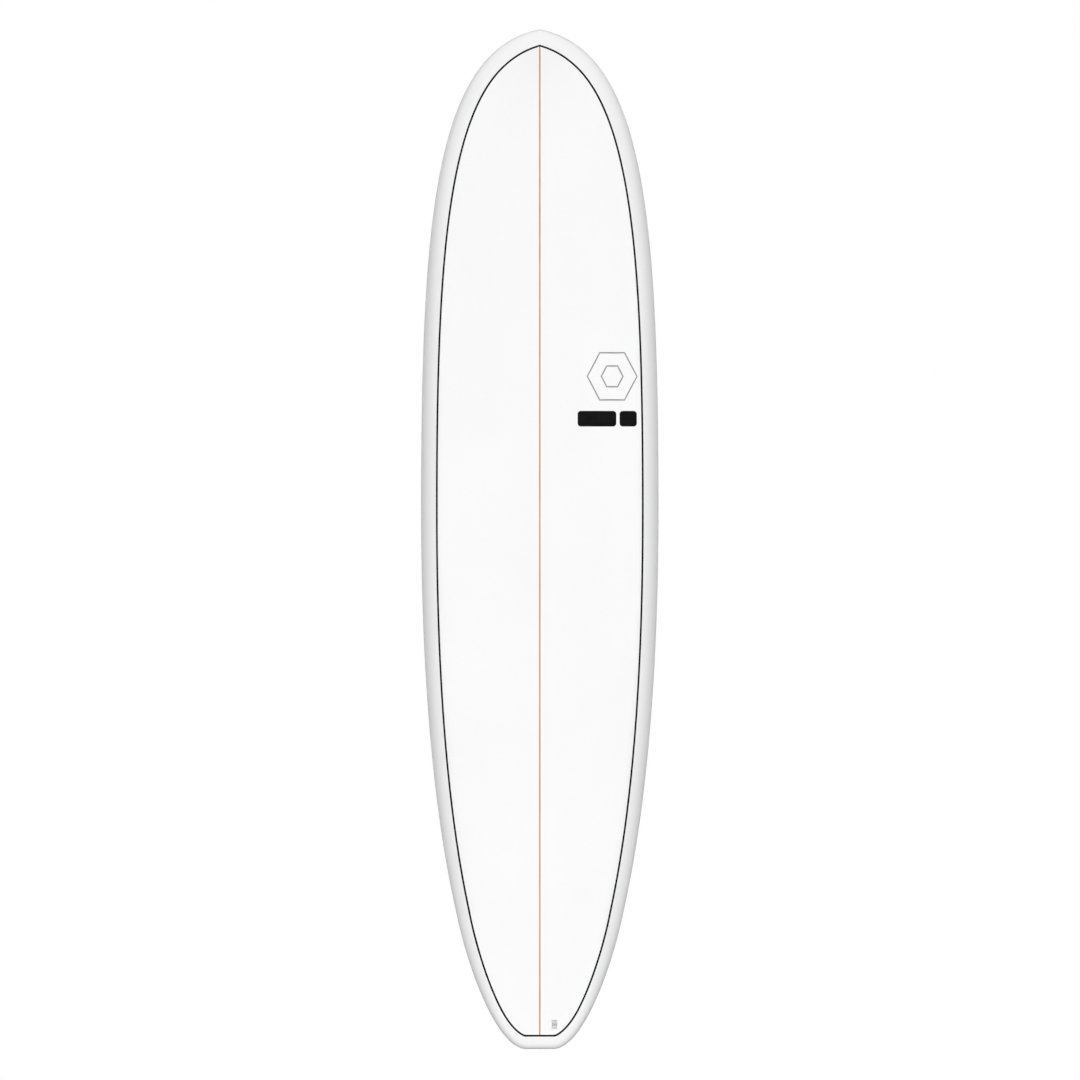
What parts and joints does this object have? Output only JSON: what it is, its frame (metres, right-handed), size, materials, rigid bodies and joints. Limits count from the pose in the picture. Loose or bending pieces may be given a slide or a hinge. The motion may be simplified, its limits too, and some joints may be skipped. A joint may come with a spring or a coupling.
{
  "type": "longboard surfboard",
  "caption": "White longboard surfboard with a squash tail, dark pinline, wooden stringer, leash plug, and a centre fin that slides in a long box between removable side fins.",
  "frame": {"origin": "centre of the square tail end's face", "axes": "+Z from tail to nose, the deck faces -Y, the bottom and the fins face +Y, +X is the right side seen from the deck"},
  "size_m": [0.5774, 0.2778, 2.48],
  "materials": {
    "foam": "matte",
    "dense_foam": "matte",
    "wood": "satin",
    "deck_gloss": "gloss",
    "rail_gloss": "gloss",
    "pinline_resin": "gloss",
    "box_plastic": "satin",
    "plug_plastic": "satin",
    "fin_composite": "satin",
    "steel": "satin",
    "brass": "satin"
  },
  "bodies": {
    "root": {"foam_core_left": "foam", "foam_core_right": "foam", "stringer": "wood", "deck_skin_left": "deck_gloss", "deck_skin_right": "deck_gloss", "rail_bottom_skin": "rail_gloss", "pinline": "pinline_resin", "center_box_block": "dense_foam", "left_box_block": "dense_foam", "right_box_block": "dense_foam", "leash_plug_block": "dense_foam", "center_fin_box": "box_plastic", "left_fin_box": "box_plastic", "right_fin_box": "box_plastic", "left_fin": "fin_composite", "right_fin": "fin_composite", "leash_plug": "plug_plastic", "leash_bar": "steel"},
    "fin_slider": {"center_fin": "fin_composite", "center_fin_pin": "brass"},
    "fin_screw": {"center_fin_screw": "steel"},
    "nut_plate": {"center_fin_nut_plate": "steel"},
    "left_grub": {"left_grub_screw": "steel"},
    "right_grub": {"right_grub_screw": "steel"}
  },
  "joints": [
    {"name": "center_fin_slide", "type": "slide", "parent": "root", "child": "fin_slider", "axis": [0, 0.0875, 0.9962], "range_m": [-0.05, 0.033]},
    {"name": "fin_screw_turn", "type": "hinge", "parent": "fin_slider", "child": "fin_screw", "pos_m": [0, 0.05118, 0.38336], "axis": [0, 0.9962, -0.0875], "range_deg": [0, 900]},
    {"name": "nut_plate_travel", "type": "slide", "parent": "fin_slider", "child": "nut_plate", "axis": [0, -0.9962, 0.0875], "range_m": [0, 0.00198]},
    {"name": "left_grub_turn", "type": "hinge", "parent": "root", "child": "left_grub", "pos_m": [-0.15699, 0.05796, 0.47533], "axis": [0, 0.9974, -0.0727], "range_deg": [0, 1080]},
    {"name": "right_grub_turn", "type": "hinge", "parent": "root", "child": "right_grub", "pos_m": [0.15699, 0.05796, 0.47533], "axis": [0, 0.9974, -0.0727], "range_deg": [0, 1080]}
  ],
  "couplings": [
    {"joint": "fin_screw_turn", "follows": "nut_plate_travel", "rad_per_m": 7915.3}
  ]
}
